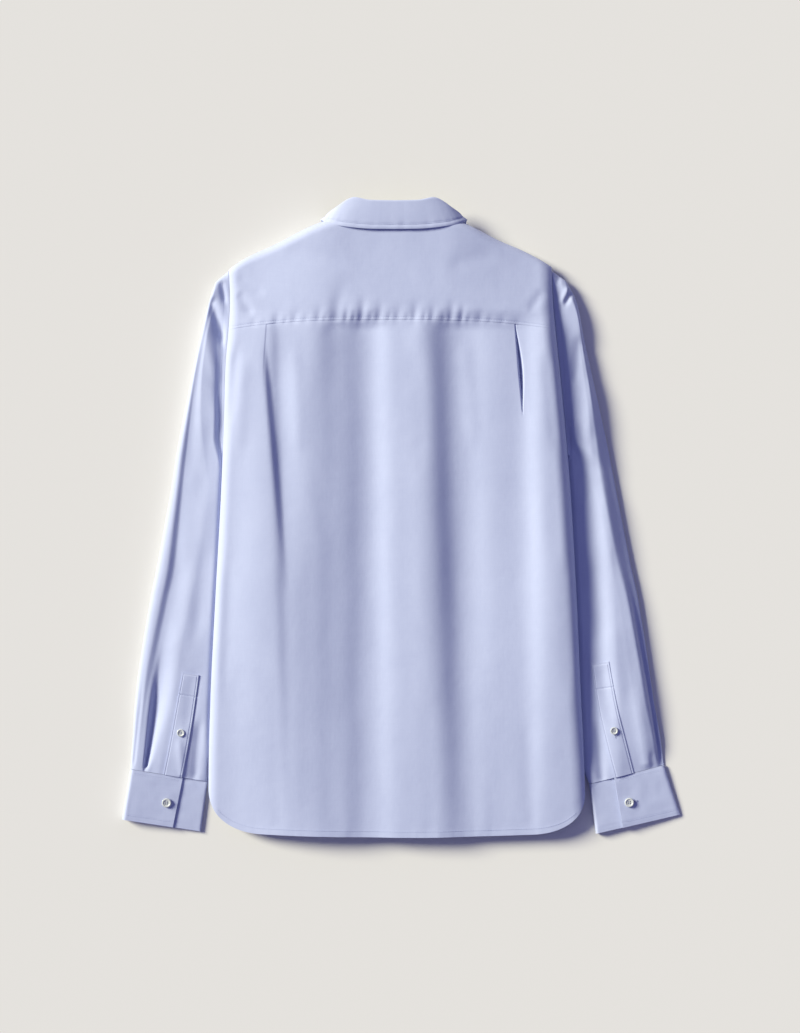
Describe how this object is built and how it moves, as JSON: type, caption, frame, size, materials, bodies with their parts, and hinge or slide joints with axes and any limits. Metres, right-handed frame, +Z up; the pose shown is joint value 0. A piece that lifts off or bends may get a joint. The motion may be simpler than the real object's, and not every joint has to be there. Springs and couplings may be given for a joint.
{
  "type": "casual shirt",
  "caption": "Plain blue long-sleeved casual shirt, buttoned and laid flat with its back up, yoke and side pleats showing, sleeves beside the body.",
  "frame": {"origin": "centre of the laid shirt's box, on the surface it lies on", "axes": "+X to the viewer's right as the back is seen, +Y from the hem to the collar, +Z up from the surface"},
  "size_m": [0.6685, 0.7661, 0.0351],
  "materials": {
    "shirt_cloth": "fine plain-woven cotton, light blue, soft sheen",
    "button_pearl": "pearl-white, polished, four holes"
  },
  "bodies": {
    "root": {"back": "shirt_cloth", "yoke": "shirt_cloth", "front_left": "shirt_cloth", "front_right": "shirt_cloth", "placket": "shirt_cloth", "sleeve_left": "shirt_cloth", "sleeve_right": "shirt_cloth", "gauntlet_left": "shirt_cloth", "gauntlet_right": "shirt_cloth", "cuff_left": "shirt_cloth", "cuff_right": "shirt_cloth", "collar_stand": "shirt_cloth", "collar_fall": "shirt_cloth", "gauntlet_button_left": "button_pearl", "gauntlet_button_right": "button_pearl", "cuff_button_left": "button_pearl", "cuff_button_right": "button_pearl", "collar_button": "button_pearl", "front_button_1": "button_pearl", "front_button_2": "button_pearl", "front_button_3": "button_pearl", "front_button_4": "button_pearl", "front_button_5": "button_pearl", "front_button_6": "button_pearl"}
  },
  "joints": []
}
